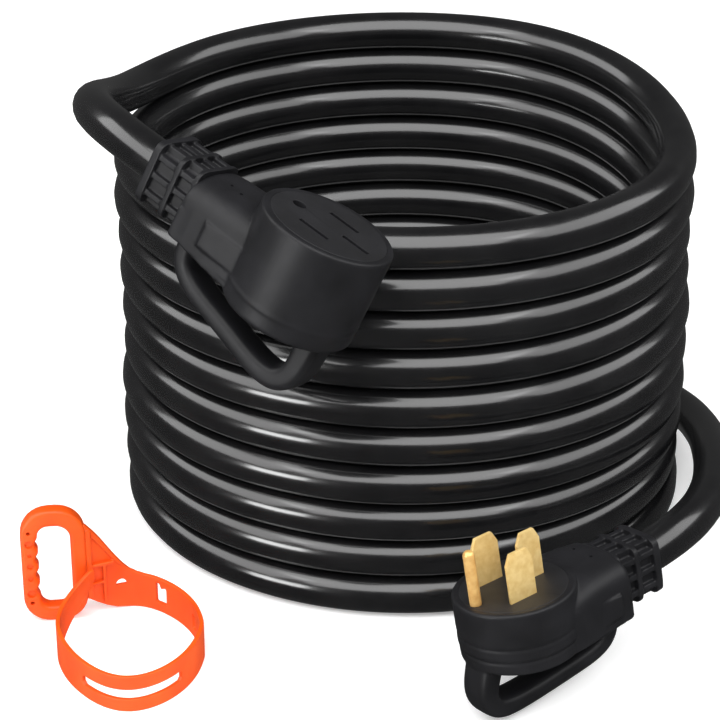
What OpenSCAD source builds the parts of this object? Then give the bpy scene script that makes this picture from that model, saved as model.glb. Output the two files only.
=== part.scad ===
// Shore power cord: a heavy four-core cable in a standing coil, a right-angle connector and
// plug with finger handles, and an orange carry strap.
// The coil stands on the floor, z = 0, and the origin is on its axis.

/* [Cable] */
// Outside diameter of the cable
cable_d = 23.4; // [22.8:0.1:23.6]
// Radius of the coil, at the middle of the cable
coil_r = 163; // [162:0.5:164]
// Number of turns that show at the front
coil_turns = 10; // [8:1:10]

/* [Connector] */
// Where the middle of the connector's face is
connector_at = [-42, -216, 257.5];
// How the connector is turned about X, Y and Z
connector_turn = [13, -21, 143];
// Diameter of the connector's head
connector_head_d = 72; // [71:0.5:73]
// Height of the connector's head
connector_head_h = 54; // [53:0.5:56]

/* [Plug] */
// Where the middle of the plug's face is
plug_at = [49, -254, 70];
// How the plug is turned about X, Y and Z
plug_turn = [-8, -5, 36];
// Diameter of the plug's head
plug_head_d = 66; // [65.5:0.5:67]
// Height of the plug's head
plug_head_h = 36; // [35.5:0.5:37]

/* [Contacts] */
// Distance between the two hot blades
hot_pitch = 28.6; // [28.2:0.1:29]
// Distance from the hot blades' line to the ground pin
ground_offset = 20; // [19.5:0.5:20.5]
// Distance from the hot blades' line to the neutral blade
neutral_offset = 17.5; // [17:0.5:18]
// Width of a hot blade
blade_w = 17; // [16.5:0.1:17.2]
// Width of the neutral blade
neutral_w = 15; // [14.5:0.1:15.2]
// Thickness of a blade
blade_t = 2; // [1.6:0.1:2.2]
// How far a blade stands out of the plug
blade_out = 27; // [25:0.5:28]
// Diameter of the ground pin
ground_d = 6.35; // [6.2:0.05:6.5]
// How far the ground pin stands out of the plug
ground_out = 31; // [29:0.5:32]

/* [Strap] */
// Width of the strap's band, which stands on edge
band_w = 21.5; // [20:0.5:23]
// Thickness of the band
band_t = 2.4; // [2:0.1:2.8]
// Height of the grip
grip_h = 70; // [69:0.5:72]
// Width of the grip
grip_w = 36; // [35:0.5:37]
// Depth of the grip's frame
grip_t = 10; // [9:0.5:11]

/* [Hidden] */
$fn = 64;
cable_r = cable_d / 2;
wall_h = coil_turns * cable_d;
tube_sides = 10;
black = [0.09, 0.09, 0.10];
insert_black = [0.13, 0.13, 0.14];
brass = [0.86, 0.70, 0.38];
orange = [1.0, 0.38, 0.09];

// Each turn climbs onto the one below between these angles, and the top one leaves the coil
climb_from = -20;
climb_to = 60;
top_from = 40;
top_to = 160;

// The connector and the plug, in their own frames: +X runs to the cable, +Z out of the face
connector_axis_z = -28;
connector_body_end = 70;
connector_relief_end = 100;
plug_axis_z = -19;
plug_head_x = 5;
plug_body_end = 64;
plug_relief_end = 92;
core_end_gap = 2;
wall_t = 4;
handle_w = 20;
insert_t = 6;
slot_room = 1.6;
pocket_floor = 4;
contact_low = -22;
wire_r = 2.9;
blade_low = -17;
relief_bore_r = cable_r + 0.15;

// Route of the cable from the connector's strain relief to the coil's top turn
connector_route = [[-149, -139, 276], [-164, -114, 278], [-173, -86, 275], [-176, -57, 269],
    [-175, -29, 261], [-170, 0, 253], [-163, 28, 247]];
// Route of the cable from the plug's strain relief to the coil's bottom turn
plug_route = [[147, -181, 62], [163, -155, 61], [174, -125, 58], [181, -92, 53], [185, -59, 47],
    [188, -26, 40], [188, 8, 33], [185, 41, 26], [177, 73, 20], [164, 103, 16], [145, 130, 13],
    [121, 151, 12], [94, 166, 12], [66, 172, 12]];

// Route of the strap's band around its loop, seen from above
root_route = [[-158, -153.5], [-148, -155], [-138, -161], [-126, -173], [-117, -189],
    [-113, -206]];
tail_route = [[-113, -210], [-115, -226], [-122, -243], [-133, -256], [-147, -263], [-161, -259],
    [-174, -247], [-185, -231], [-192, -212], [-193, -196], [-187, -181], [-176, -170]];

// ---- points and routes ----
function turned(p, a) =
    let (x1 = p[0], y1 = p[1] * cos(a[0]) - p[2] * sin(a[0]),
        z1 = p[1] * sin(a[0]) + p[2] * cos(a[0]))
    let (x2 = x1 * cos(a[1]) + z1 * sin(a[1]), z2 = -x1 * sin(a[1]) + z1 * cos(a[1]))
    [x2 * cos(a[2]) - y1 * sin(a[2]), x2 * sin(a[2]) + y1 * cos(a[2]), z2];
function placed(p, at, a) = at + turned(p, a);
function unit(v) = v / norm(v);
function on_circle(r, angle, z) = [r * cos(angle), r * sin(angle), z];

// A smooth curve through the points, with some steps between each two
function between(p, i, t) =
    let (a = p[max(i - 1, 0)], b = p[i], c = p[i + 1], d = p[min(i + 2, len(p) - 1)])
    0.5 * (2 * b + (c - a) * t + (2 * a - 5 * b + 4 * c - d) * t * t
        + (3 * b - a - 3 * c + d) * t * t * t);
function smooth(p, steps) =
    [for (i = [0:len(p) - 2], k = [0:steps - 1]) between(p, i, k / steps), p[len(p) - 1]];
function heading(p, i) = unit(p[min(i + 1, len(p) - 1)] - p[max(i - 1, 0)]);

// The outline of a strip of one thickness along a flat route
function side_of(p, off) =
    [for (i = [0:len(p) - 1]) let (h = heading(p, i)) p[i] + off * [-h[1], h[0]]];
function backwards(p) = [for (i = [len(p) - 1:-1:0]) p[i]];
function strip(p, t) = concat(side_of(p, t / 2), backwards(side_of(p, -t / 2)));

// An outline with each corner rounded: rows of [x, y, radius]
function corner_arc(a, b, c, r, steps) =
    let (u = unit(a - b), v = unit(c - b), half = acos(u * v) / 2,
        middle = b + unit(u + v) * r / sin(half), from = b + u * r / tan(half) - middle,
        turn_by = sign(u[0] * v[1] - u[1] * v[0]) * (half * 2 - 180))
    [for (k = [0:steps]) let (s = turn_by * k / steps)
        middle + [from[0] * cos(s) - from[1] * sin(s), from[0] * sin(s) + from[1] * cos(s)]];
function flat(p) = [p[0], p[1]];
function rounded(p, steps) =
    [for (i = [0:len(p) - 1])
        let (a = flat(p[(i + len(p) - 1) % len(p)]), b = flat(p[i]), c = flat(p[(i + 1) % len(p)]))
        each p[i][2] == 0 ? [b] : corner_arc(a, b, c, p[i][2], steps)];

// ---- shared shapes ----
module tube(route, r, sides) {
    n = len(route);
    rings = [for (i = [0:n - 1])
        let (h = heading(route, i), side = unit(cross(h, [0, 0, 1])), up = cross(side, h))
        for (k = [0:sides - 1]) let (a = 360 * k / sides)
            route[i] + r * (cos(a) * side + sin(a) * up)];
    walls = [for (i = [0:n - 2], k = [0:sides - 1])
        let (j = (k + 1) % sides)
        [i * sides + k, i * sides + j, (i + 1) * sides + j, (i + 1) * sides + k]];
    first_end = [for (k = [0:sides - 1]) sides - 1 - k];
    last_end = [for (k = [0:sides - 1]) (n - 1) * sides + k];
    polyhedron(rings, concat(walls, [first_end], [last_end]), convexity = 6);
}

module on_connector() {
    translate(connector_at) rotate(connector_turn) children();
}

module on_plug() {
    translate(plug_at) rotate(plug_turn) children();
}

// A bar with square corners taken off, from x0 to x1, seen along X as an outline in Y and Z
module along_x(x0, x1, outline) {
    translate([x0, 0, 0]) rotate([90, 0, 90]) linear_extrude(x1 - x0) polygon(outline);
}

// A plate with an outline in X and Z, centred on y = 0
module along_y(width, outline) {
    translate([0, width / 2, 0]) rotate([90, 0, 0]) linear_extrude(width) polygon(outline);
}

// An insulated conductor through its points
module wire(points) {
    tube(smooth(points, 3), wire_r, 8);
}

// The head of a connector or plug: a round block with its edges taken off
module head(r, h, edge) {
    rotate_extrude() polygon([[0, -h], [r - edge, -h], [r, -h + edge], [r, -edge / 2],
        [r - edge / 2, 0], [0, 0]]);
}

// The ribbed sleeve that the cable leaves by: a squared block with rings, slots and a bore
module strain_relief(x0, x1, axis_z, w0, w1) {
    length = x1 - x0;
    flange = 5;
    rib = 3;
    difference() {
        union() {
            translate([x0, 0, axis_z]) rotate([90, 0, 90])
                linear_extrude(length) rounded_square(w0 - 8, 5);
            translate([x1 - flange, 0, axis_z]) rotate([90, 0, 90])
                linear_extrude(flange) rounded_square(w1, 6);
            for (side = [0:3], lane = [-1, 0, 1])
                translate([x0, 0, axis_z]) rotate([90 * side, 0, 0])
                    translate([0, lane * w0 * 0.27 - rib / 2, 0])
                        cube([length - flange, rib, w0 / 2 - 1]);
            translate([x0 + length * 0.36, 0, axis_z]) rotate([90, 0, 90])
                linear_extrude(rib) rounded_square(w0 - 2, 6);
        }
        translate([x0 - 1, 0, axis_z]) rotate([0, 90, 0])
            cylinder(h = length + 2, r = relief_bore_r);
    }
}

module rounded_square(w, r) {
    square([w - 2 * r, w], center = true);
    square([w, w - 2 * r], center = true);
    for (x = [-1, 1], y = [-1, 1]) translate([x * (w / 2 - r), y * (w / 2 - r)]) circle(r, $fn = 32);
}

// ---- cable ----
module cable_coil() {
    color(black) rotate_extrude($fn = 96)
        translate([coil_r - cable_r, 0]) square([cable_d, wall_h]);
}

// The height of the top turn, which eases up over the climb and then lies level
function eased(t) = t * t * (3 - 2 * t);
function top_turn_z(angle) =
    wall_h + cable_r - cable_d * (1 - eased(min(1, (angle - climb_from) / (climb_to - climb_from))));
top_turn = [for (a = [top_to:-20:top_from]) on_circle(coil_r, a, top_turn_z(a))];

connector_start = placed([connector_body_end + core_end_gap, 0, connector_axis_z],
    connector_at, connector_turn);
connector_exit = placed([connector_relief_end, 0, connector_axis_z], connector_at, connector_turn);
plug_start = placed([plug_body_end + core_end_gap, 0, plug_axis_z], plug_at, plug_turn);
plug_exit = placed([plug_relief_end, 0, plug_axis_z], plug_at, plug_turn);

module cable_tail_connector() {
    color(black)
        tube(concat([connector_start, connector_exit], connector_route, top_turn), cable_r, tube_sides);
}

module cable_tail_plug() {
    color(black) tube(concat([plug_start, plug_exit], plug_route), cable_r, tube_sides);
}

// ---- connector ----
connector_section = [[-26, -60], [-26, -24], [-17, -12], [17, -12], [26, -24], [26, -60]];
connector_side = rounded([[0, -10, 0], [connector_body_end, -10, 4], [connector_body_end, -46, 0],
    [0, -54, 0]], 6);

module connector_body() {
    color(black) on_connector() difference() {
        union() {
            head(connector_head_d / 2, connector_head_h, 2);
            intersection() {
                along_x(0, connector_body_end, connector_section);
                along_y(80, connector_side);
            }
        }
        translate([0, 0, pocket_floor + 1 - connector_head_h])
            cylinder(h = connector_head_h, r = connector_head_d / 2 - wall_t);
        translate([20, -12, -42]) cube([connector_body_end, 24, 26]);
        for (x = [48, 56]) translate([x, 20 - x / 4, -20]) cylinder(h = 12, r = 0.9, $fn = 16);
    }
}

module slot(x, y, w, t, z, h) {
    translate([x - w / 2, y - t / 2, z]) cube([w, t, h]);
}

module connector_face() {
    color(insert_black) on_connector() difference() {
        translate([0, 0, -insert_t]) cylinder(h = insert_t, r = connector_head_d / 2 - wall_t);
        for (s = [-1, 1]) slot(0, s * hot_pitch / 2, blade_w + slot_room, blade_t + slot_room / 2, -10, 20);
        slot(-neutral_offset, 0, neutral_w + slot_room, blade_t + slot_room / 2, -10, 20);
        translate([ground_offset, 0, -10]) cylinder(h = 20, r = 3.7);
    }
}

module connector_carrier() {
    color(insert_black) on_connector() difference() {
        translate([0, 0, contact_low]) cylinder(h = -contact_low - insert_t, r = 29);
        for (s = [-1, 1]) slot(0, s * hot_pitch / 2, blade_w + 3, 7, -30, 40);
        slot(-neutral_offset, 0, neutral_w + 3, 7, -30, 40);
        translate([ground_offset, 0, -30]) cylinder(h = 40, r = 5.6);
    }
}

// A forked brass clip that grips a blade, open at the top
module blade_clip(x, y, w) {
    color(brass) on_connector() difference() {
        slot(x, y, w + 1, 5, contact_low + 0.5, -contact_low - insert_t - 1);
        slot(x, y, w + 2, blade_t, contact_low + 3, 30);
    }
}

module connector_hot_contact_x() {
    blade_clip(0, hot_pitch / 2, blade_w);
}

module connector_hot_contact_y() {
    blade_clip(0, -hot_pitch / 2, blade_w);
}

module connector_neutral_contact() {
    blade_clip(-neutral_offset, 0, neutral_w);
}

module connector_ground_contact() {
    color(brass) on_connector() translate([ground_offset, 0, contact_low + 0.5]) difference() {
        cylinder(h = 15, r = 5);
        translate([0, 0, 2]) cylinder(h = 20, r = 3.3);
    }
}

// The core's four conductors leave the cable 4.5 mm off its axis
core_off = 4.5;
function core(start_x, axis_z, y, z) = [start_x, y * core_off, axis_z + z * core_off];

module connector_wire(points, y, z) {
    on_connector() wire(concat([core(connector_body_end, connector_axis_z, y, z)], points));
}

module connector_wire_black() {
    color([0.05, 0.05, 0.05]) connector_wire([[42, 6, -30], [4, 13.6, -31],
        [0, 14.3, contact_low - 4], [0, 14.3, contact_low]], 1, 1);
}

module connector_wire_red() {
    color([0.7, 0.06, 0.05]) connector_wire([[42, -6, -30], [4, -13.6, -31],
        [0, -14.3, contact_low - 4], [0, -14.3, contact_low]], -1, 1);
}

module connector_wire_green() {
    color([0.05, 0.4, 0.12]) connector_wire([[42, 4, -36.5], [21, 0, -37.5],
        [20, 0, contact_low - 4], [20, 0, contact_low]], 1, -1);
}

module connector_wire_white() {
    color([0.9, 0.9, 0.88]) connector_wire([[48, -7, -36.5], [30, -8, -38], [4, -6, -41],
        [-16, -1, -40], [-17.5, 0, contact_low - 6], [-17.5, 0, contact_low]], -1, -1);
}

module connector_strain_relief() {
    color(black) on_connector()
        strain_relief(connector_body_end, connector_relief_end, connector_axis_z, 38, 38);
}

// The finger handle's side outline, in X and Z: down the head's end, along and up to the neck
connector_handle_side = rounded([[-14, -54, 0], [-29, -54, 0], [-27, -88, 14], [-4, -94, 14],
    [62, -78, 16], [76, -60, 12], [70, -46, 0], [60, -47.14, 0], [60, -60, 7], [52, -66, 8],
    [-5, -79, 6], [-13, -76, 6]], 8);

module connector_handle() {
    color(black) on_connector() along_y(handle_w, connector_handle_side);
}

// ---- plug ----
plug_section = [[-27, -40], [-27, -14], [-17, -1.5], [17, -1.5], [27, -14], [27, -40]];
plug_side = rounded([[plug_head_x, 0, 0], [plug_body_end, 0, 5], [plug_body_end, -plug_head_h, 0],
    [plug_head_x, -plug_head_h, 0]], 6);

module plug_body() {
    color(black) on_plug() difference() {
        union() {
            translate([plug_head_x, 0, 0]) head(plug_head_d / 2, plug_head_h, 2);
            intersection() {
                along_x(plug_head_x, plug_body_end, plug_section);
                along_y(80, plug_side);
            }
        }
        translate([plug_head_x, 0, pocket_floor - 1.5 - plug_head_h])
            cylinder(h = plug_head_h, r = plug_head_d / 2 - wall_t);
        translate([20, -12, -33.5]) cube([plug_body_end, 24, 26]);
        for (y = [-6, 8]) translate([53, y, -6]) cylinder(h = 12, r = 0.9, $fn = 16);
    }
}

module plug_face() {
    color(insert_black) on_plug() difference() {
        translate([plug_head_x, 0, -14]) cylinder(h = 14, r = plug_head_d / 2 - wall_t);
        for (s = [-1, 1]) slot(0, s * hot_pitch / 2, blade_w + 0.2, blade_t + 0.2, -30, 40);
        slot(neutral_offset, 0, neutral_w + 0.2, blade_t + 0.2, -30, 40);
        translate([-ground_offset, 0, -30]) cylinder(h = 40, r = ground_d / 2 + 0.1);
        translate([plug_head_x + 25, -12, -20]) cube([30, 24, 12.5]);
    }
}

// A flat blade, its tip narrowed on both edges
module blade(x, y, w) {
    tip = 3;
    color(brass) on_plug() translate([x, y, 0]) along_y(blade_t, [[-w / 2, blade_low], [w / 2, blade_low],
        [w / 2, blade_out - 6], [w / 2 - tip, blade_out], [tip - w / 2, blade_out],
        [-w / 2, blade_out - 6]]);
}

module plug_hot_blade_x() {
    blade(0, -hot_pitch / 2, blade_w);
}

module plug_hot_blade_y() {
    blade(0, hot_pitch / 2, blade_w);
}

module plug_neutral_blade() {
    blade(neutral_offset, 0, neutral_w);
}

module plug_ground_pin() {
    r = ground_d / 2;
    color(brass) on_plug() translate([-ground_offset, 0, 0]) {
        translate([0, 0, blade_low]) cylinder(h = -blade_low, r = r - 0.3);
        cylinder(h = ground_out - r, r = r);
        translate([0, 0, ground_out - r]) intersection() {
            sphere(r = r);
            translate([-r, -r, 0]) cube(2 * r);
        }
    }
}

module plug_wire(points, y, z) {
    on_plug() wire(concat([core(plug_body_end, plug_axis_z, y, z)], points));
}

module plug_wire_black() {
    color([0.05, 0.05, 0.05]) plug_wire([[42, -6, -19.5], [24, -10, -22], [3, -14, -24.5],
        [0, -14.3, blade_low - 3], [0, -14.3, blade_low - 0.6]], -1, 1);
}

module plug_wire_red() {
    color([0.7, 0.06, 0.05]) plug_wire([[42, 6, -19.5], [24, 10, -22], [3, 14, -24.5],
        [0, 14.3, blade_low - 3], [0, 14.3, blade_low - 0.6]], 1, 1);
}

module plug_wire_white() {
    color([0.9, 0.9, 0.88]) plug_wire([[44, 4, -27], [20, 0, -28.5],
        [17.5, 0, blade_low - 4], [17.5, 0, blade_low - 0.4]], 1, -1);
}

module plug_wire_green() {
    color([0.05, 0.4, 0.12]) plug_wire([[44, -6, -27], [24, -7, -29], [-4, -7, -29.4],
        [-18, -2, -28], [-20, 0, blade_low - 4], [-20, 0, blade_low - 0.4]], -1, -1);
}

module plug_strain_relief() {
    color(black) on_plug() strain_relief(plug_body_end, plug_relief_end, plug_axis_z, 35, 34);
}

plug_handle_side = rounded([[-14, -36, 0], [-24, -36, 0], [-32, -43, 5], [-31, -62, 12],
    [-18, -68, 14], [54, -64, 14], [67, -52, 10], [64, -36, 0], [52, -36, 0], [53, -48, 4],
    [-8, -54, 4], [-18, -53.5, 4], [-18, -42, 2]], 8);

module plug_handle() {
    color(black) on_plug() along_y(handle_w, plug_handle_side);
}

// ---- strap ----
grip_at = [-198, -166, 0];
grip_turn = 8;
grip_edge = [-179.8, -163.3];
root_turn = 24;
root_side = [[0, 12], [0, 50], [8, 42], [16, 31], [24, 21.5], [24, 0], [18, 0], [8, 6]];
slot_low = 8;
slot_high = 13;
grip_outline = rounded([[-grip_w / 2, 0, 15], [grip_w / 2, 0, 15], [grip_w / 2, grip_h, 16],
    [-grip_w / 2, grip_h, 16]], 10);
grip_hole = rounded([[-8.5, 9, 7], [9.5, 9, 7], [9.5, grip_h - 10, 8], [-8.5, grip_h - 10, 7]], 8);

module strap_grip() {
    color(orange) translate(grip_at) rotate([0, 0, grip_turn]) difference() {
        along_y(grip_t, grip_outline);
        along_y(grip_t + 2, grip_hole);
        for (z = [16, 25, 45, 54]) translate([-8.5, 0, z]) rotate([90, 0, 0])
            cylinder(h = grip_t + 2, r = 2.4, center = true, $fn = 24);
    }
}

module band(route, z0, z1) {
    translate([0, 0, z0]) linear_extrude(z1 - z0) polygon(strip(smooth(route, 3), band_t));
}

// A hole through the band where it faces the heading, at a point of its route
module band_hole(p, angle, w, z0, z1) {
    translate([p[0], p[1], z0]) rotate([0, 0, angle]) translate([-w / 2, -6, 0])
        cube([w, 12, z1 - z0]);
}

module strap_root_band() {
    color(orange) difference() {
        union() {
            band(root_route, 0, band_w);
            translate(grip_edge) rotate([0, 0, root_turn]) along_y(band_t, root_side);
        }
        band_hole(root_route[2], -38, 7, 6, 17);
        band_hole(root_route[4], -66, 6, 6, 15);
    }
}

module strap_tail_band() {
    color(orange) difference() {
        band(tail_route, 0, band_w);
        translate([0, 0, slot_low]) linear_extrude(slot_high - slot_low)
            polygon(strip(smooth([for (i = [2:6]) tail_route[i]], 3), band_t + 4));
    }
}

cable_coil();
cable_tail_connector();
cable_tail_plug();
connector_body();
connector_face();
connector_carrier();
connector_handle();
connector_strain_relief();
connector_hot_contact_x();
connector_hot_contact_y();
connector_neutral_contact();
connector_ground_contact();
connector_wire_black();
connector_wire_red();
connector_wire_white();
connector_wire_green();
plug_body();
plug_face();
plug_handle();
plug_strain_relief();
plug_hot_blade_x();
plug_hot_blade_y();
plug_neutral_blade();
plug_ground_pin();
plug_wire_black();
plug_wire_red();
plug_wire_white();
plug_wire_green();
strap_grip();
strap_root_band();
strap_tail_band();
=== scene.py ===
import math

import bmesh
import bpy
import numpy as np
from mathutils import Euler, Matrix, Vector


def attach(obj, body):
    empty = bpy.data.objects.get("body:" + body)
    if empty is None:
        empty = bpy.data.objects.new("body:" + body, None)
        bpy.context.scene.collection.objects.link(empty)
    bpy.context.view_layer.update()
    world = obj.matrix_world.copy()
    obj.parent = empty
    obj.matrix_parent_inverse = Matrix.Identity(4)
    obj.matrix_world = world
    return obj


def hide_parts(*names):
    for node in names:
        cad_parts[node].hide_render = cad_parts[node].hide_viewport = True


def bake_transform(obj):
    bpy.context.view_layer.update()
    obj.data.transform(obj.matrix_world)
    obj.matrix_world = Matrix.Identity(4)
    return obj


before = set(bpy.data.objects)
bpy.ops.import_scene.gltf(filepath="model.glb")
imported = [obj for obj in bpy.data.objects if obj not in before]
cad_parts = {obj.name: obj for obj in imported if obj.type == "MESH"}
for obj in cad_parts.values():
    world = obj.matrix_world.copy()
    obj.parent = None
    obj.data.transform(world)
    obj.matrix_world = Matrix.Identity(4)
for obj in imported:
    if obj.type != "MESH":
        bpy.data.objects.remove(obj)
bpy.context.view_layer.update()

MM = 0.001

# ---- driving dimensions, in millimetres, as in the CAD ----
CABLE_D = 23.4
CABLE_R = CABLE_D / 2
COIL_R = 163
COIL_TURNS = 10
COIL_JOIN = 120     # the angle at which the bottom turn meets the tail from the plug
CLIMB_FROM, CLIMB_TO = -20, 60
TOP_TO = 160

CONNECTOR_AT, CONNECTOR_TURN = (-42, -216, 257.5), (13, -21, 143)
CONNECTOR_AXIS_Z, CONNECTOR_BODY_END, CONNECTOR_RELIEF_END = -28, 70, 100
CONNECTOR_HEAD_R, CONNECTOR_HEAD_H = 36, 54
PLUG_AT, PLUG_TURN = (49, -254, 70), (-8, -5, 36)
PLUG_AXIS_Z, PLUG_BODY_END, PLUG_RELIEF_END = -19, 64, 92
PLUG_HEAD_R, PLUG_HEAD_H, PLUG_HEAD_X = 33, 36, 5
CORE_END_GAP, VENT_R = 2, 1
RELIEF_FLANGE, RELIEF_RIB, RELIEF_ROOM = 4.6, 3.4, 0.12

GRIP_AT, GRIP_TURN, GRIP_H, GRIP_W, GRIP_T = (-198, -166, 0), 8, 70, 36, 10
GRIP_EDGE, ROOT_TURN, BAND_W, BAND_T = (-179.8, -163.3), 24, 21.5, 2.4
SLOT_LOW, SLOT_HIGH = 7.6, 13.4
TIP_LENGTH, TIP_RISE, FLARE_LENGTH, BAND_LOW = 42, 19, 34, 0.15
ROOT_ROUTE = [(-158, -153.5), (-148, -155), (-138, -161), (-126, -173), (-117, -189), (-113, -206)]
TAIL_ROUTE = [(-113, -210), (-115, -226), (-122, -243), (-133, -256), (-147, -263), (-161, -259),
              (-174, -247), (-185, -231), (-192, -212), (-193, -196), (-187, -181), (-176, -170)]

CONNECTOR_ROUTE = [(-149, -139, 276), (-164, -114, 278), (-173, -86, 275), (-176, -57, 269),
                   (-175, -29, 261), (-170, 0, 253), (-163, 28, 248)]
PLUG_ROUTE = [(147, -181, 62), (163, -155, 61), (174, -125, 58), (181, -92, 53), (185, -59, 47),
              (188, -26, 40), (188, 8, 33), (185, 41, 26), (177, 73, 20), (164, 103, 16),
              (145, 130, 13), (121, 151, 12), (94, 166, 12), (66, 172, 12)]
# From beside the coil to under it, behind the coil
MERGE_ROUTE = [(35, 174, 11.7), (3, 173, 11.7), (-28, 167, 11.7), (-57, 155, 11.7)]


def placing(at, turn):
    """Where a part's own frame lies in the row frame, in metres."""
    turn = Euler([math.radians(a) for a in turn], "XYZ").to_matrix().to_4x4()
    return Matrix.Translation(Vector(at) * MM) @ turn


CONNECTOR = placing(CONNECTOR_AT, CONNECTOR_TURN)
PLUG = placing(PLUG_AT, PLUG_TURN)
GRIP = placing(GRIP_AT, (0, 0, GRIP_TURN))
ROOT = placing((*GRIP_EDGE, 0), (0, 0, ROOT_TURN))


# ---- camera ----
def make_camera():
    """A long lens from the front, looking down on the coil."""
    aim = Vector((-0.0267, 0, 0.0828))
    distance = 1.4
    down = math.radians(25)
    data = bpy.data.cameras.new("camera")
    data.sensor_width = 36
    data.lens = 113.3
    data.clip_end = 30
    camera = bpy.data.objects.new("camera", data)
    camera.location = aim + distance * Vector((0, -math.cos(down), math.sin(down)))
    camera.rotation_euler = (math.radians(90) - down, 0, 0)
    bpy.context.scene.collection.objects.link(camera)
    bpy.context.scene.camera = camera


make_camera()


# ---- the cable's route ----
def smoothstep(t):
    t = min(1, max(0, t))
    return t * t * (3 - 2 * t)


def level(angle):
    """How many layers up the coil's turn is, where angle counts from the coil's first turn."""
    beyond = angle - (CLIMB_FROM + 360)
    turns_up = math.floor(beyond / 360)
    climbed = smoothstep((beyond - 360 * turns_up) / (CLIMB_TO - CLIMB_FROM))
    return max(0, turns_up + climbed)


def spread(angle):
    """Small uneven steps outwards and inwards that hand-laid turns have, in millimetres."""
    a = math.radians(angle)
    return 0.9 * math.sin(a * 0.83 + 1.0) + 0.6 * math.sin(a * 0.37) + 0.35 * math.sin(a * 2.1)


def bspline(points, steps):
    """A smooth curve that starts and ends at the first and last of the points."""
    p = [np.array(q, float) for q in points]
    p = [2 * p[0] - p[1]] + p + [2 * p[-1] - p[-2]]
    curve = []
    for i in range(len(p) - 3):
        for k in range(steps):
            t = k / steps
            curve.append(((1 - t) ** 3 * p[i] + (3 * t ** 3 - 6 * t ** 2 + 4) * p[i + 1]
                          + (-3 * t ** 3 + 3 * t ** 2 + 3 * t + 1) * p[i + 2] + t ** 3 * p[i + 3]) / 6)
    curve.append(p[-2])
    return curve


def in_row(matrix, x, y, z):
    """A point of a part's own frame in the row frame, in millimetres."""
    return tuple(matrix @ Vector((x * MM, y * MM, z * MM)) / MM)


def coil_points():
    """The turns of the coil from the bottom to the top, with 18 points in each."""
    last = 360 * COIL_TURNS + TOP_TO
    points = []
    for angle in range(COIL_JOIN, last + 1, 20):
        settle = smoothstep((angle - COIL_JOIN) / 360) * smoothstep((last - angle) / 60)
        r = COIL_R + settle * spread(angle)
        z = CABLE_R + CABLE_D * level(angle)
        points.append((r * math.cos(math.radians(angle)), r * math.sin(math.radians(angle)), z))
    return points


plug_start = in_row(PLUG, PLUG_BODY_END + CORE_END_GAP, 0, PLUG_AXIS_Z)
plug_exit = in_row(PLUG, PLUG_RELIEF_END, 0, PLUG_AXIS_Z)
connector_start = in_row(CONNECTOR, CONNECTOR_BODY_END + CORE_END_GAP, 0, CONNECTOR_AXIS_Z)
connector_exit = in_row(CONNECTOR, CONNECTOR_RELIEF_END, 0, CONNECTOR_AXIS_Z)

cable_knots = ([plug_start, plug_exit] + PLUG_ROUTE + MERGE_ROUTE + coil_points()
               + CONNECTOR_ROUTE[::-1] + [connector_exit, connector_start])
cable_path = [p * MM for p in bspline(cable_knots, 8)]


def link(obj):
    bpy.context.scene.collection.objects.link(obj)
    return obj


def make_cable():
    """The whole cord as one round section swept along its path."""
    data = bpy.data.curves.new("cable", "CURVE")
    data.dimensions = "3D"
    data.bevel_depth = CABLE_R * MM
    data.bevel_resolution = 8
    data.use_fill_caps = True
    spline = data.splines.new("POLY")
    spline.points.add(len(cable_path) - 1)
    for point, at in zip(spline.points, cable_path):
        point.co = (*at, 1)
    spline.use_smooth = True
    return link(bpy.data.objects.new("cable", data))


cable = make_cable()


# ---- mesh helpers: every builder takes millimetres in a part's own frame ----
def mesh_of(name, verts, faces):
    """A mesh in metres, with its faces turned outwards."""
    mesh = bpy.data.meshes.new(name)
    mesh.from_pydata([Vector(v) * MM for v in verts], [], faces)
    bm = bmesh.new()
    bm.from_mesh(mesh)
    bmesh.ops.recalc_face_normals(bm, faces=bm.faces)
    bm.to_mesh(mesh)
    bm.free()
    return mesh


def loft(rings):
    """A closed solid through rings of points, with a flat end on the first and the last."""
    n = len(rings[0])
    verts = [p for ring in rings for p in ring]
    faces = [[i * n + k, i * n + (k + 1) % n, (i + 1) * n + (k + 1) % n, (i + 1) * n + k]
             for i in range(len(rings) - 1) for k in range(n)]
    faces += [list(range(n))[::-1], [(len(rings) - 1) * n + k for k in range(n)]]
    return verts, faces


def block(x0, x1, y0, y1, z0, z1):
    return loft([[(x, y, z) for y, z in ((y0, z0), (y1, z0), (y1, z1), (y0, z1))] for x in (x0, x1)])


def around(sides):
    """The cosine and the sine of evenly spaced angles."""
    return [(math.cos(2 * math.pi * k / sides), math.sin(2 * math.pi * k / sides)) for k in range(sides)]


def drum(x, profile, sides=96):
    """A round solid on an upright axis at y = 0, where profile is rows of radius and height."""
    return loft([[(x + r * c, r * s, z) for c, s in around(sides)] for r, z in profile])


def rod(a, b, r, sides=48):
    """A round bar from a to b."""
    a, b = Vector(a), Vector(b)
    along = (b - a).normalized()
    side = along.orthogonal().normalized()
    up = along.cross(side)
    return loft([[end + r * (c * side + s * up) for c, s in around(sides)] for end in (a, b)])


def squircle(width, height, power, sides=32):
    """Points round a shape between an ellipse, power 2, and a rectangle."""
    return [(math.copysign(abs(c) ** (2 / power), c) * width / 2,
             math.copysign(abs(s) ** (2 / power), s) * height / 2) for c, s in around(sides)]


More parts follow.
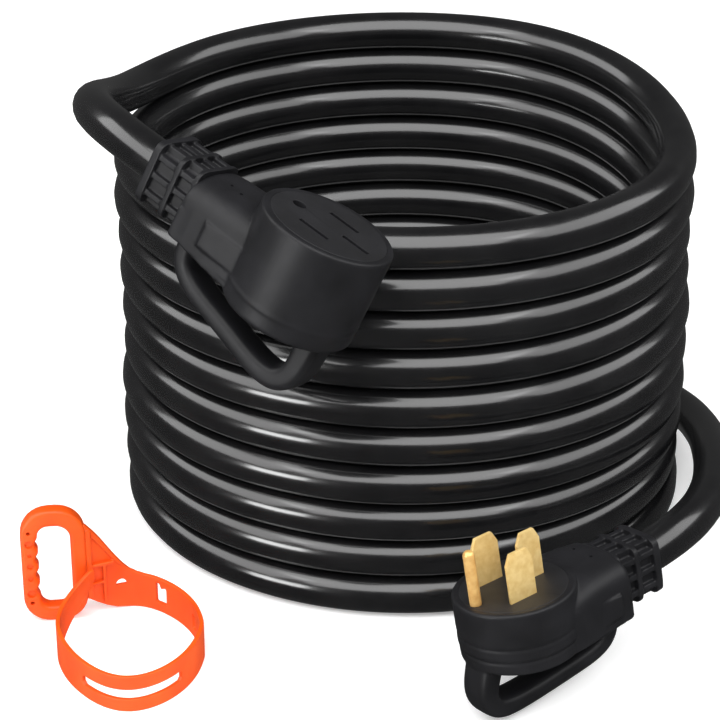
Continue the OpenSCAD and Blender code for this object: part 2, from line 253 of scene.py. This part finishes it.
def handle_bar(rows):
    """A bar in the X-Z plane through rows of [x, z, thickness, width, squareness]."""
    path = bspline(rows, 6)
    rings = []
    for i, (x, z, thick, wide, power) in enumerate(path):
        ahead, behind = path[min(i + 1, len(path) - 1)], path[max(i - 1, 0)]
        dx, dz = ahead[0] - behind[0], ahead[1] - behind[1]
        size = math.hypot(dx, dz)
        nx, nz = -dz / size, dx / size
        rings.append([(x + nx * a, b, z + nz * a) for a, b in squircle(thick, wide, power)])
    return loft(rings)


def applied(obj):
    """The object's mesh with its modifiers in it."""
    graph = bpy.context.evaluated_depsgraph_get()
    mesh = bpy.data.meshes.new_from_object(obj.evaluated_get(graph))
    obj.modifiers.clear()
    obj.data = mesh
    return obj


def shade(obj, angle):
    """Smooth shading, with edges sharper than the angle left crisp."""
    obj.data.polygons.foreach_set("use_smooth", [True] * len(obj.data.polygons))
    obj.data.set_sharp_from_angle(angle=math.radians(angle))
    return obj


def joined(name, parts):
    """One mesh of several solids, which may overlap."""
    verts, faces = [], []
    for part_verts, part_faces in parts:
        faces += [[len(verts) + i for i in face] for face in part_faces]
        verts += list(part_verts)
    return link(bpy.data.objects.new(name, mesh_of(name, verts, faces)))


def cut_by(obj, parts):
    """Takes solids away from a mesh, one after the other."""
    for part in parts:
        tool = joined("cutter", [part])
        cut = obj.modifiers.new("cut", "BOOLEAN")
        cut.operation = "DIFFERENCE"
        cut.solver = "MANIFOLD"
        cut.object = tool
        bpy.context.view_layer.update()
        applied(obj)
        bpy.data.objects.remove(tool)
    return obj


def moulded(name, parts, voxel, rounds, cuts=()):
    """One soft-edged moulding made of overlapping solids."""
    obj = joined(name, parts)
    remesh = obj.modifiers.new("remesh", "REMESH")
    remesh.mode = "VOXEL"
    remesh.voxel_size = voxel * MM
    soften = obj.modifiers.new("soften", "SMOOTH")
    soften.factor = 0.5
    soften.iterations = rounds
    bpy.context.view_layer.update()
    applied(obj)
    if cuts:
        cut_by(obj, cuts)
    return shade(obj, 40)


def put(obj, where, body, material, slot, *nodes):
    """Places a finished piece, gives it its finish and says which CAD nodes it stands for."""
    obj.data.transform(where)
    obj.data.materials.clear()
    obj.data.materials.append(material)
    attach(obj, body)
    if nodes:
        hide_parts(*nodes)
    return obj


# ---- materials ----
def new_material(name):
    material = bpy.data.materials.new(name)
    material.use_nodes = True
    tree = material.node_tree
    return material, tree.nodes, tree.links, tree.nodes["Principled BSDF"]


def noise(nodes, links, scale, detail, vector=None):
    node = nodes.new("ShaderNodeTexNoise")
    node.inputs["Scale"].default_value = scale
    node.inputs["Detail"].default_value = detail
    if vector is None:
        coordinates = nodes.new("ShaderNodeTexCoord")
        vector = coordinates.outputs["Object"]
    links.new(vector, node.inputs["Vector"])
    return node.outputs["Fac"]


def ramp(nodes, links, value, stops):
    node = nodes.new("ShaderNodeValToRGB")
    element = node.color_ramp.elements
    element[0].position, element[0].color = stops[0][0], (*stops[0][1], 1)
    element[1].position, element[1].color = stops[1][0], (*stops[1][1], 1)
    links.new(value, node.inputs["Fac"])
    return node.outputs["Color"]


def spread_to(nodes, links, value, low, high):
    node = nodes.new("ShaderNodeMapRange")
    node.inputs["To Min"].default_value = low
    node.inputs["To Max"].default_value = high
    links.new(value, node.inputs["Value"])
    return node.outputs["Result"]


def bump(nodes, links, height, strength, distance, shader):
    node = nodes.new("ShaderNodeBump")
    node.inputs["Strength"].default_value = strength
    node.inputs["Distance"].default_value = distance
    links.new(height, node.inputs["Height"])
    links.new(node.outputs["Normal"], shader.inputs["Normal"])


def slot_shade_mask(nodes):
    """1 on open faces, 0 inside slots and holes a few millimetres wide: the mask for the painted shade in
    them.
    """
    node = nodes.new("ShaderNodeAmbientOcclusion")
    node.only_local = True
    node.samples = 8
    node.inputs["Distance"].default_value = 8 * MM
    return node.outputs["AO"]


def moulded_plastic(name, dark, light, rough, grain_scale, grain, gloss=0.5, painted_slot_shade=False):
    """Black or coloured plastic with a fine spark-eroded grain and faint uneven tone, and where asked,
    painted shade in its slots and holes, whose gloss is taken away.
    """
    material, nodes, links, shader = new_material(name)
    tone = noise(nodes, links, 45, 4)
    links.new(ramp(nodes, links, tone, [(0.3, dark), (0.7, light)]), shader.inputs["Base Color"])
    links.new(spread_to(nodes, links, noise(nodes, links, 160, 5), rough[0], rough[1]),
              shader.inputs["Roughness"])
    bump(nodes, links, noise(nodes, links, grain_scale, 3), grain, 0.0002, shader)
    shader.inputs["Specular IOR Level"].default_value = gloss
    # Painted shade: the gloss fades out inside slots and holes, so they look dark as if in shade.
    if painted_slot_shade:
        shaded_gloss = spread_to(nodes, links, slot_shade_mask(nodes), 0, gloss)
        shaded_gloss.node.inputs["From Min"].default_value = 0.6
        shaded_gloss.node.inputs["From Max"].default_value = 0.95
        links.new(shaded_gloss, shader.inputs["Specular IOR Level"])
    return material


def cable_material():
    """Glossy black jacket, with a faintly uneven tone, gloss and surface."""
    material, nodes, links, shader = new_material("cable_jacket")
    tone = noise(nodes, links, 30, 4)
    links.new(ramp(nodes, links, tone, [(0.35, (0.0045, 0.0045, 0.005)), (0.75, (0.009, 0.009, 0.0095))]),
              shader.inputs["Base Color"])
    links.new(spread_to(nodes, links, noise(nodes, links, 120, 3), 0.2, 0.28), shader.inputs["Roughness"])
    bump(nodes, links, noise(nodes, links, 90, 2), 0.05, 0.0004, shader)
    shader.inputs["Specular IOR Level"].default_value = 0.6
    shader.inputs["Coat Weight"].default_value = 0.7
    shader.inputs["Coat Roughness"].default_value = 0.12
    return material


def metal(name, dark, light, rough):
    """Plated or bare brass, with fine lengthwise brushing and darker handling marks."""
    material, nodes, links, shader = new_material(name)
    coordinates = nodes.new("ShaderNodeTexCoord")
    mapping = nodes.new("ShaderNodeMapping")
    mapping.inputs["Scale"].default_value = (1, 1, 0.12)
    links.new(coordinates.outputs["Object"], mapping.inputs["Vector"])
    brushed = noise(nodes, links, 1400, 4, mapping.outputs["Vector"])
    links.new(ramp(nodes, links, noise(nodes, links, 260, 5), [(0.3, dark), (0.65, light)]),
              shader.inputs["Base Color"])
    links.new(spread_to(nodes, links, brushed, rough[0], rough[1]), shader.inputs["Roughness"])
    bump(nodes, links, brushed, 0.12, 0.0001, shader)
    shader.inputs["Metallic"].default_value = 0.35
    return material


def wire_plastic(name, dark, light):
    """The smooth insulation of a conductor."""
    return moulded_plastic(name, dark, light, (0.35, 0.5), 900, 0.1)


jacket = cable_material()
body_black = moulded_plastic("body_plastic", (0.008, 0.008, 0.009), (0.014, 0.014, 0.016),
                             (0.36, 0.5), 2600, 0.3, 0.25)
# The insert's slots and holes get painted shade: their gloss fades out inside them.
insert_black = moulded_plastic("insert_plastic", (0.01, 0.01, 0.011), (0.016, 0.016, 0.018),
                               (0.42, 0.56), 3200, 0.3, 0.36, painted_slot_shade=True)
strap_orange = moulded_plastic("strap_plastic", (0.84, 0.076, 0.003), (0.92, 0.104, 0.006),
                               (0.36, 0.46), 1500, 0.12, 0.36)
pale_brass = metal("blade_metal", (0.78, 0.52, 0.18), (0.9, 0.66, 0.28), (0.36, 0.52))
gold_brass = metal("pin_metal", (0.72, 0.38, 0.11), (0.88, 0.56, 0.2), (0.24, 0.4))
wire_colours = {
    "black": wire_plastic("wire_black", (0.01, 0.01, 0.01), (0.018, 0.018, 0.018)),
    "red": wire_plastic("wire_red", (0.38, 0.01, 0.008), (0.5, 0.02, 0.015)),
    "white": wire_plastic("wire_white", (0.72, 0.71, 0.68), (0.82, 0.81, 0.78)),
    "green": wire_plastic("wire_green", (0.01, 0.16, 0.03), (0.02, 0.24, 0.05))}

cable.data.materials.append(jacket)
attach(cable, "cord")
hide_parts("cable_coil", "cable_tail_connector", "cable_tail_plug")


# ---- connector ----
def ribbed_relief(name, x0, x1, axis_z, w0, w1):
    """The squared sleeve round the cable, with an end flange, a ring, and slots between ribs."""
    def span(a, b, wa, wb, power=7):
        return loft([[(x, y, axis_z + z) for y, z in squircle(w, w, power, 64)]
                     for x, w in ((a, wa), (b, wb))])

    def rib(side, y):
        """A rib along the sleeve, y off the middle of one of its four sides."""
        turn = Matrix.Rotation(math.pi / 2 * side, 3, "X")
        half = RELIEF_RIB / 2
        verts, faces = loft([[(x, y - half, 6), (x, y + half, 6), (x, y + half, w / 2 - 1.6),
                              (x, y - half, w / 2 - 1.6)] for x, w in ((x0 - 1, w0), (x1 - 1, w1))])
        return [turn @ Vector(v) + Vector((0, 0, axis_z)) for v in verts], faces

    parts = [span(x0 - 1.5, x1 - 0.4, w0 - 9, w1 - 8, 5),
             span(x1 - RELIEF_FLANGE, x1 - 0.2, w1 - 0.8, w1 - 1.4),
             span(x0 + 10.2, x0 + 13.4, w0 - 1.8, w0 - 2.2),
             span(x0 - 1.5, x0 + 1.2, w0 - 2.4, w0 - 3)]
    parts += [rib(side, lane * w0 * 0.27) for side in range(4) for lane in (-1, 0, 1)]
    bore = rod((x0 - 4, 0, axis_z), (x1 + 4, 0, axis_z), CABLE_R + RELIEF_ROOM, 64)
    return moulded(name, parts, 0.5, 3, [bore])


def squircle_block(half_w, round_h, top, low):
    """A section with a round-shouldered top and a flat bottom, in Y and Z."""
    upper = [(y, top - round_h / 2 + z) for y, z in squircle(2 * half_w, round_h, 2.9, 64)
             if z >= -0.001]
    return [(-half_w, low)] + sorted(upper) + [(half_w, low)]


def vent(x, y, z0, z1):
    """A pinhole in the top of a neck."""
    return rod((x, y, z0), (x, y, z1), VENT_R, 20)


def connector_parts():
    """The head with its ring, the neck, the neck's straight lower half, its panel and the handle."""
    r, h, end = CONNECTOR_HEAD_R, CONNECTOR_HEAD_H, CONNECTOR_BODY_END
    head = drum(0, [(r - 1.4, 0.4 - h), (r - 0.1, 2 - h), (r, -44.4), (r + 0.35, -43.6),
                    (r + 0.35, -42.4), (r, -41.6), (r, -1.2), (r - 0.9, -0.1)])
    neck = loft([[(x, y, z) for y, z in squircle_block(half, 2 * half * 0.86, top, -47)]
                 for x, half, top in ((0, 26.6, -10.3), (22, 26.2, -10.3), (44, 25.4, -10.6),
                                      (60, 24.4, -11.2), (end - 3, 23.6, -12), (end - 0.3, 22.4, -13.4))])
    lower = loft([[(x, y, z) for y, z in ((-half, low), (half, low), (half, -30), (-half, -30))]
                  for x, half, low in ((0, 26.4, -53.6), (44, 25.4, -49), (end - 0.3, 23.6, -46))])
    panel = block(12, 50, -26.5, 26.5, -41, -27)
    handle = handle_bar([(-19, -38, 20, 21, 5), (-21.4, -52, 15, 20, 5), (-21.6, -66, 13, 19.6, 5),
                         (-20.5, -78, 13, 19.4, 4), (-12.5, -86, 13.4, 19, 3.4), (2, -85.5, 13.2, 18.6, 3),
                         (20, -80.5, 12.8, 18, 3), (38, -76, 12.4, 18, 3), (54, -71.5, 12.4, 18.4, 3),
                         (64.5, -64, 11.6, 18.8, 3.4), (66, -53, 11, 19, 4), (63, -40, 12, 19.6, 5)])
    return [head, neck, lower, panel, handle]


def connector_hollows():
    """The pocket for the insert and the contacts, the wires' cavity and two pinholes."""
    return [drum(0, [(32.05, -45.6), (32.05, 5)]),
            block(20, CONNECTOR_BODY_END + 4, -12, 12, -42, -16),
            vent(48, 8, -20, -5), vent(56, 6, -20, -5)]


connector_shell = moulded("connector_shell", connector_parts(), 0.72, 5, connector_hollows())
put(connector_shell, CONNECTOR, "cord", body_black, "body_plastic", "connector_body", "connector_handle")
connector_relief = ribbed_relief("connector_relief", CONNECTOR_BODY_END, CONNECTOR_RELIEF_END,
                                 CONNECTOR_AXIS_Z, 38, 37)
put(connector_relief, CONNECTOR, "cord", body_black, "body_plastic", "connector_strain_relief")

# ---- plug ----
def plug_parts():
    """The head with its two grooves, the neck, its panel and the handle."""
    r, end = PLUG_HEAD_R, PLUG_BODY_END
    head = drum(PLUG_HEAD_X, [(r - 1.6, 0.4 - PLUG_HEAD_H), (r - 0.7, 1.6 - PLUG_HEAD_H),
                              (r - 0.5, -29.4), (r - 1.1, -28.6), (r - 1.1, -27.6), (r - 0.1, -26.8),
                              (r - 0.1, -21.6), (r - 0.7, -21), (r - 0.7, -20.2), (r - 0.1, -19.4),
                              (r - 0.1, -1.2), (r - 1, -0.1)])
    neck = loft([[(x, y, z) for y, z in squircle_block(half, 30, top, 0.4 - PLUG_HEAD_H)]
                 for x, half, top in ((PLUG_HEAD_X, 30, -1.4), (26, 29.4, -1), (36, 28, -0.3),
                                      (50, 26, -0.4), (end - 3, 24.6, -1.4), (end - 0.3, 23.4, -2.8))])
    panel = block(30, 54, -27.6, 27.6, -30, -17)
    handle = handle_bar([(-17, -28, 13, 20, 5), (-22, -39, 12, 20, 5), (-26, -51, 11.6, 19.4, 4.4),
                         (-21, -61, 12.2, 19, 3.6), (-5, -61.8, 12, 18.6, 3), (14, -60.2, 11.6, 18.4, 3),
                         (34, -58, 11.6, 18.4, 3), (50, -55.8, 11.6, 18.6, 3), (59, -49, 11.6, 19, 3.4),
                         (59.4, -38, 11.6, 19.6, 4), (57, -28, 12, 20, 5)])
    return [head, neck, panel, handle]


def plug_hollows():
    """The pocket for the blade carrier, the wires' cavity and two pinholes."""
    return [drum(PLUG_HEAD_X, [(29.05, -33.5), (29.05, 5)]),
            block(20, PLUG_BODY_END + 4, -12, 12, -33.5, -7.5),
            vent(53, -6, -8, 3), vent(53, 8, -8, 3)]


plug_shell = moulded("plug_shell", plug_parts(), 0.7, 5, plug_hollows())
put(plug_shell, PLUG, "cord", body_black, "body_plastic", "plug_body", "plug_handle")
plug_relief = ribbed_relief("plug_relief", PLUG_BODY_END, PLUG_RELIEF_END, PLUG_AXIS_Z, 35, 33.6)
put(plug_relief, PLUG, "cord", body_black, "body_plastic", "plug_strain_relief")


# ---- parts that keep their CAD shape ----
def keep(node, material, edge=0.0):
    """Gives a CAD node its finish, and softens its sharp edges a little."""
    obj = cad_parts[node]
    if not obj.material_slots:
        obj.data.materials.append(material)
    for held in obj.material_slots:
        held.material = material
    if edge:
        weld = obj.modifiers.new("weld", "WELD")
        weld.merge_threshold = 0.00001
        soften = obj.modifiers.new("edge", "BEVEL")
        soften.width = edge * MM
        soften.segments = 3
        soften.limit_method = "ANGLE"
        soften.angle_limit = math.radians(35)
    return obj


for kept, finish, slot_name, edge_size in (
        ("connector_face", insert_black, "insert_plastic", 0.35),
        ("connector_carrier", insert_black, "insert_plastic", 0),
        ("connector_hot_contact_x", pale_brass, "blade_brass", 0.2),
        ("connector_hot_contact_y", pale_brass, "blade_brass", 0.2),
        ("connector_neutral_contact", pale_brass, "blade_brass", 0.2),
        ("connector_ground_contact", gold_brass, "ground_brass", 0.2),
        ("plug_face", insert_black, "insert_plastic", 0.35),
        ("plug_hot_blade_x", pale_brass, "blade_brass", 0.45),
        ("plug_hot_blade_y", pale_brass, "blade_brass", 0.45),
        ("plug_neutral_blade", pale_brass, "blade_brass", 0.45),
        ("plug_ground_pin", gold_brass, "ground_brass", 0)):
    keep(kept, finish, edge_size)
for colour, finish in wire_colours.items():
    for end_name in ("connector", "plug"):
        keep(f"{end_name}_wire_{colour}", finish)

plug_nodes = ["plug_face", "plug_hot_blade_x", "plug_hot_blade_y", "plug_neutral_blade", "plug_ground_pin"]
plug_nodes += [f"plug_wire_{colour}" for colour in wire_colours]


# ---- strap ----
def corner_arc(a, b, c, r, steps=8):
    """Points round a rounded corner at b."""
    a, b, c = Vector(a), Vector(b), Vector(c)
    u, v = (a - b).normalized(), (c - b).normalized()
    half = math.acos(max(-1, min(1, u.dot(v)))) / 2
    middle = b + (u + v).normalized() * r / math.sin(half)
    start = b + u * r / math.tan(half) - middle
    turn = math.copysign(math.pi - 2 * half, -(u.x * v.y - u.y * v.x))
    return [middle + Matrix.Rotation(turn * k / steps, 2) @ start for k in range(steps + 1)]


def rounded(points):
    """A closed outline from rows of [x, y, radius]."""
    out = []
    for i, (x, y, r) in enumerate(points):
        before, after = points[i - 1][:2], points[(i + 1) % len(points)][:2]
        out += [Vector((x, y))] if r == 0 else corner_arc(before, (x, y), after, r)
    return out


def plate(name, outlines, thickness, edge):
    """A plate with holes and soft edges, from outlines in millimetres: the first is its outside."""
    data = bpy.data.curves.new(name, "CURVE")
    data.dimensions = "2D"
    data.fill_mode = "BOTH"
    data.extrude = (thickness / 2 - edge) * MM
    data.bevel_depth = edge * MM
    data.bevel_resolution = 3
    data.offset = -edge * MM
    for outline in outlines:
        spline = data.splines.new("POLY")
        spline.points.add(len(outline) - 1)
        spline.use_cyclic_u = True
        for point, (x, y) in zip(spline.points, outline):
            point.co = (x * MM, y * MM, 0, 1)
    curve = link(bpy.data.objects.new(name + "_outline", data))
    bpy.context.view_layer.update()
    mesh = bpy.data.meshes.new_from_object(curve.evaluated_get(bpy.context.evaluated_depsgraph_get()))
    bpy.data.objects.remove(curve)
    bm = bmesh.new()
    bm.from_mesh(mesh)
    bmesh.ops.remove_doubles(bm, verts=bm.verts, dist=0.00001)
    bmesh.ops.recalc_face_normals(bm, faces=bm.faces)
    bm.to_mesh(mesh)
    bm.free()
    mesh.transform(Matrix.Rotation(math.pi / 2, 4, "X"))
    return link(bpy.data.objects.new(name, mesh))


def scalloped_hole():
    """The grip's opening, with four finger hollows down its left side."""
    left, right, top, low = -8.5, 9.5, GRIP_H - 10, 9
    corner, depth, steps = 6, 0.9, 40
    smooth_part = [p for p in rounded([(left, low, corner), (right, low, 7), (right, top, 8),
                                       (left, top, corner)]) if p.x > left + 0.01]
    fingers = [Vector((left - depth * (1 - math.cos(8 * math.pi * k / steps)),
                       low + corner + (top - low - 2 * corner) * k / steps)) for k in range(steps + 1)]
    return sorted(smooth_part + fingers, key=lambda p: math.atan2(p.y - GRIP_H / 2, p.x))


def grip_outline():
    half = GRIP_W / 2
    return rounded([(-half, 0, 15), (half, 0, 15), (half, GRIP_H, 16), (-half, GRIP_H, 16)])


def grip_dimples():
    """Dimples and pinholes down the front of the grip's left side."""
    x, front = -13.4, -GRIP_T / 2
    return [rod((x, front - 1, z), (x, front + depth, z), r, 24)
            for z, r, depth in ((12.5, 1.2, 3), (18.5, 2.5, 1.2), (28, 1.5, 0.8), (36, 1.8, 1),
                                (43, 1.2, 0.8), (50, 2.4, 1.2), (57, 1.1, 3))]


grip = plate("strap_grip_handle", [grip_outline(), scalloped_hole()], GRIP_T, 2.2)
cut_by(grip, grip_dimples())
shade(grip, 35)
put(grip, GRIP, "strap", strap_orange, "strap_orange", "strap_grip")

def root_rib_parts():
    """The rib along the flare's sloping edge, three small ribs below it, and the web at the grip."""
    edge_rib = handle_bar([(-2.6, 58, 3.6, 5.4, 4), (2.5, 52.4, 3.6, 5.2, 4), (8, 44.6, 3.4, 5, 4),
                           (13, 36.9, 3, 4.6, 4), (17.5, 30.6, 2.6, 3.8, 4), (21, 26.6, 2, 2.8, 4),
                           (24, 24, 1.4, 2.2, 4)])
    level_rib = block(-1.5, 14.6, -3.4, -0.6, 30.8, 32.8)
    upright_rib = block(8, 9.8, -3.2, -0.6, 7.4, 32)
    short_rib = block(-1.5, 9, -3.2, -0.6, 19.4, 21)
    web = block(-1.5, 1.6, -3.8, 3.8, 12, 55)
    return [edge_rib, level_rib, upright_rib, short_rib, web]


root_ribs = moulded("strap_root_ribs", root_rib_parts(), 0.45, 3)
put(root_ribs, ROOT, "strap", strap_orange, "strap_orange")


def band_line():
    """The band's centreline seen from above, from the grip to the tip, about a point a millimetre."""
    turn = math.radians(ROOT_TURN)
    start = [(GRIP_EDGE[0] + d * math.cos(turn), GRIP_EDGE[1] + d * math.sin(turn)) for d in (-1, 8, 16)]
    knots = [(x, y, 0) for x, y in start + ROOT_ROUTE + TAIL_ROUTE]
    return [Vector(p[:2]) for p in bspline(knots, 12)]


line = band_line()
lengths = [0.0]
for here, onward in zip(line, line[1:]):
    lengths.append(lengths[-1] + (onward - here).length)
band_length = lengths[-1]


def at_length(s):
    """The point and the direction of the band's line that far along it."""
    i = min(max(int(np.searchsorted(lengths, s)), 1), len(line) - 1)
    t = (s - lengths[i - 1]) / (lengths[i] - lengths[i - 1])
    along = (line[i] - line[i - 1]).normalized()
    return line[i - 1].lerp(line[i], t), along


def nearest_length(x, y):
    """How far along the band's line a point beside it is."""
    gaps = [(p - Vector((x, y))).length for p in line]
    return lengths[gaps.index(min(gaps))]


def band_outline():
    """The flat pattern of the band: flared at the grip, straight, then narrowing to a raised tip."""
    middle_z = BAND_W / 2
    flare_top = [(0, 58), (4, 53), (9, 45.5), (14, 37.5), (19, 30.5), (24, 25.4), (29, 22.6),
                 (FLARE_LENGTH, BAND_W)]
    flare_low = [(0, 11), (5, 7.5), (11, 3.8), (17, 1.2), (23, 0.2), (28, BAND_LOW)]
    tip_from = band_length - TIP_LENGTH
    steps = 16
    tip_top, tip_low = [], []
    for t in (k / steps for k in range(steps + 1)):
        s = tip_from + TIP_LENGTH * t
        rise = TIP_RISE * t ** 1.8
        narrowed = 1 - 0.56 * t ** 1.5
        blunted = 1 if t < 0.93 else 0.62 + 0.38 * (1 - t) / 0.07
        half = middle_z * narrowed * blunted
        tip_top.append((s, middle_z + rise + half))
        tip_low.append((s, max(BAND_LOW, middle_z + rise - half)))
    straight = [FLARE_LENGTH + (tip_from - FLARE_LENGTH) * k / 60 for k in range(1, 60)]
    upper = flare_top + [(s, BAND_W) for s in straight] + tip_top
    lower = flare_low + [(s, BAND_LOW) for s in straight] + tip_low
    return [Vector(p) for p in upper + lower[::-1]]


def band_holes():
    """The two latch holes, the half-round hole near the grip, and the long slot at the front."""
    square, small = nearest_length(*ROOT_ROUTE[2]), nearest_length(*ROOT_ROUTE[4])
    latch = rounded([(square - 4, 6, 1), (square + 4, 6, 1), (square + 4, 17, 1), (square, 15.2, 0.8),
                     (square - 1.6, 18.4, 0.8), (square - 4, 18.4, 0.6)])
    second = rounded([(small - 2.6, 5.5, 1), (small + 2.6, 5.5, 1), (small + 2.6, 15, 1),
                      (small - 2.6, 15, 1)])
    half_turn = [math.pi * k / 12 for k in range(13)]
    half_round = [Vector((20 + 3.2 * math.cos(t), 15.4 + 3.4 * math.sin(t))) for t in half_turn]
    a, b = nearest_length(*TAIL_ROUTE[2]), nearest_length(*TAIL_ROUTE[6])
    middle, end_half, count = (SLOT_LOW + SLOT_HIGH) / 2, 1.4, 40
    along = [a + (b - a) * k / count for k in range(1, count)]
    slot = ([(a, middle - end_half), (a, middle + end_half)] + [(s, SLOT_HIGH) for s in along]
            + [(b, middle + end_half), (b, middle - end_half)] + [(s, SLOT_LOW) for s in along[::-1]])
    return [latch, second, half_round, [Vector(p) for p in slot]]


def bent_band():
    """The band's flat pattern, cut every 2 mm and laid along its line."""
    obj = plate("strap_band", [band_outline()] + band_holes(), BAND_T, 0.55)
    bm = bmesh.new()
    bm.from_mesh(obj.data)
    for s in np.arange(1, band_length - 0.5, 2):
        bmesh.ops.bisect_plane(bm, geom=bm.verts[:] + bm.edges[:] + bm.faces[:], dist=0.000001,
                               plane_co=(s * MM, 0, 0), plane_no=(1, 0, 0))
    for v in bm.verts:
        at, along = at_length(min(max(v.co.x / MM, 0), band_length))
        side = Vector((-along.y, along.x))
        flat = at + side * (v.co.y / MM)
        v.co = Vector((flat.x * MM, flat.y * MM, v.co.z))
    bmesh.ops.recalc_face_normals(bm, faces=bm.faces)
    bm.to_mesh(obj.data)
    bm.free()
    return shade(obj, 35)


band = bent_band()
band.data.materials.append(strap_orange)
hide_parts("strap_root_band", "strap_tail_band")
for piece in (grip, root_ribs, band):
    piece.visible_glossy = False
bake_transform(band)


# ---- floor and light ----
def make_floor():
    """A pale floor, which the glossy black plastics don't mirror."""
    far = 9000
    corners = [(-far, -far, 0), (far, -far, 0), (far, far, 0), (-far, far, 0)]
    floor = link(bpy.data.objects.new("floor", mesh_of("floor", corners, [[0, 1, 2, 3]])))
    material, nodes, links, shader = new_material("floor")
    tone = noise(nodes, links, 3, 2)
    links.new(ramp(nodes, links, tone, [(0.3, (0.93, 0.93, 0.93)), (0.7, (0.95, 0.95, 0.95))]),
              shader.inputs["Base Color"])
    shader.inputs["Roughness"].default_value = 0.9
    shader.inputs["Specular IOR Level"].default_value = 0.1
    shader.inputs["Emission Color"].default_value = (1, 1, 1, 1)
    shader.inputs["Emission Strength"].default_value = 0.3
    floor.data.materials.append(material)
    floor.visible_glossy = False


def softbox(name, at, target, width, height, power):
    """A rectangular light at a place in metres, facing the target."""
    data = bpy.data.lights.new(name, "AREA")
    data.shape = "RECTANGLE"
    data.size, data.size_y = width, height
    data.energy = power
    light = link(bpy.data.objects.new(name, data))
    light.location = at
    light.rotation_euler = (Vector(target) - Vector(at)).to_track_quat("-Z", "Y").to_euler()
    return light


def make_light():
    """A large softbox in front, one on each side, a low one for the gloss and one overhead."""
    world = bpy.data.worlds.new("world")
    world.use_nodes = True
    background = world.node_tree.nodes["Background"]
    background.inputs["Color"].default_value = (1, 1, 1, 1)
    background.inputs["Strength"].default_value = 0.06
    bpy.context.scene.world = world
    softbox("key", (0, -1.25, 1.95), (0, 0, 0.1), 3.2, 2.4, 80)
    softbox("side_left", (-2.1, -0.2, 1.75), (0, 0, 0.1), 3.2, 1.5, 40)
    softbox("side_right", (2.1, -0.2, 1.75), (0, 0, 0.1), 3.2, 1.5, 34)
    strip = softbox("strip_left", (-1.6, -1.45, 0.3), (0, 0, 0.2), 0.9, 0.55, 18)
    strip.visible_diffuse = False
    overhead = softbox("overhead", (0, 0.3, 3.2), (0, 0, 0), 4.5, 4.5, 20)
    overhead.visible_glossy = False


make_floor()
make_light()
bpy.context.scene.view_settings.view_transform = "Standard"
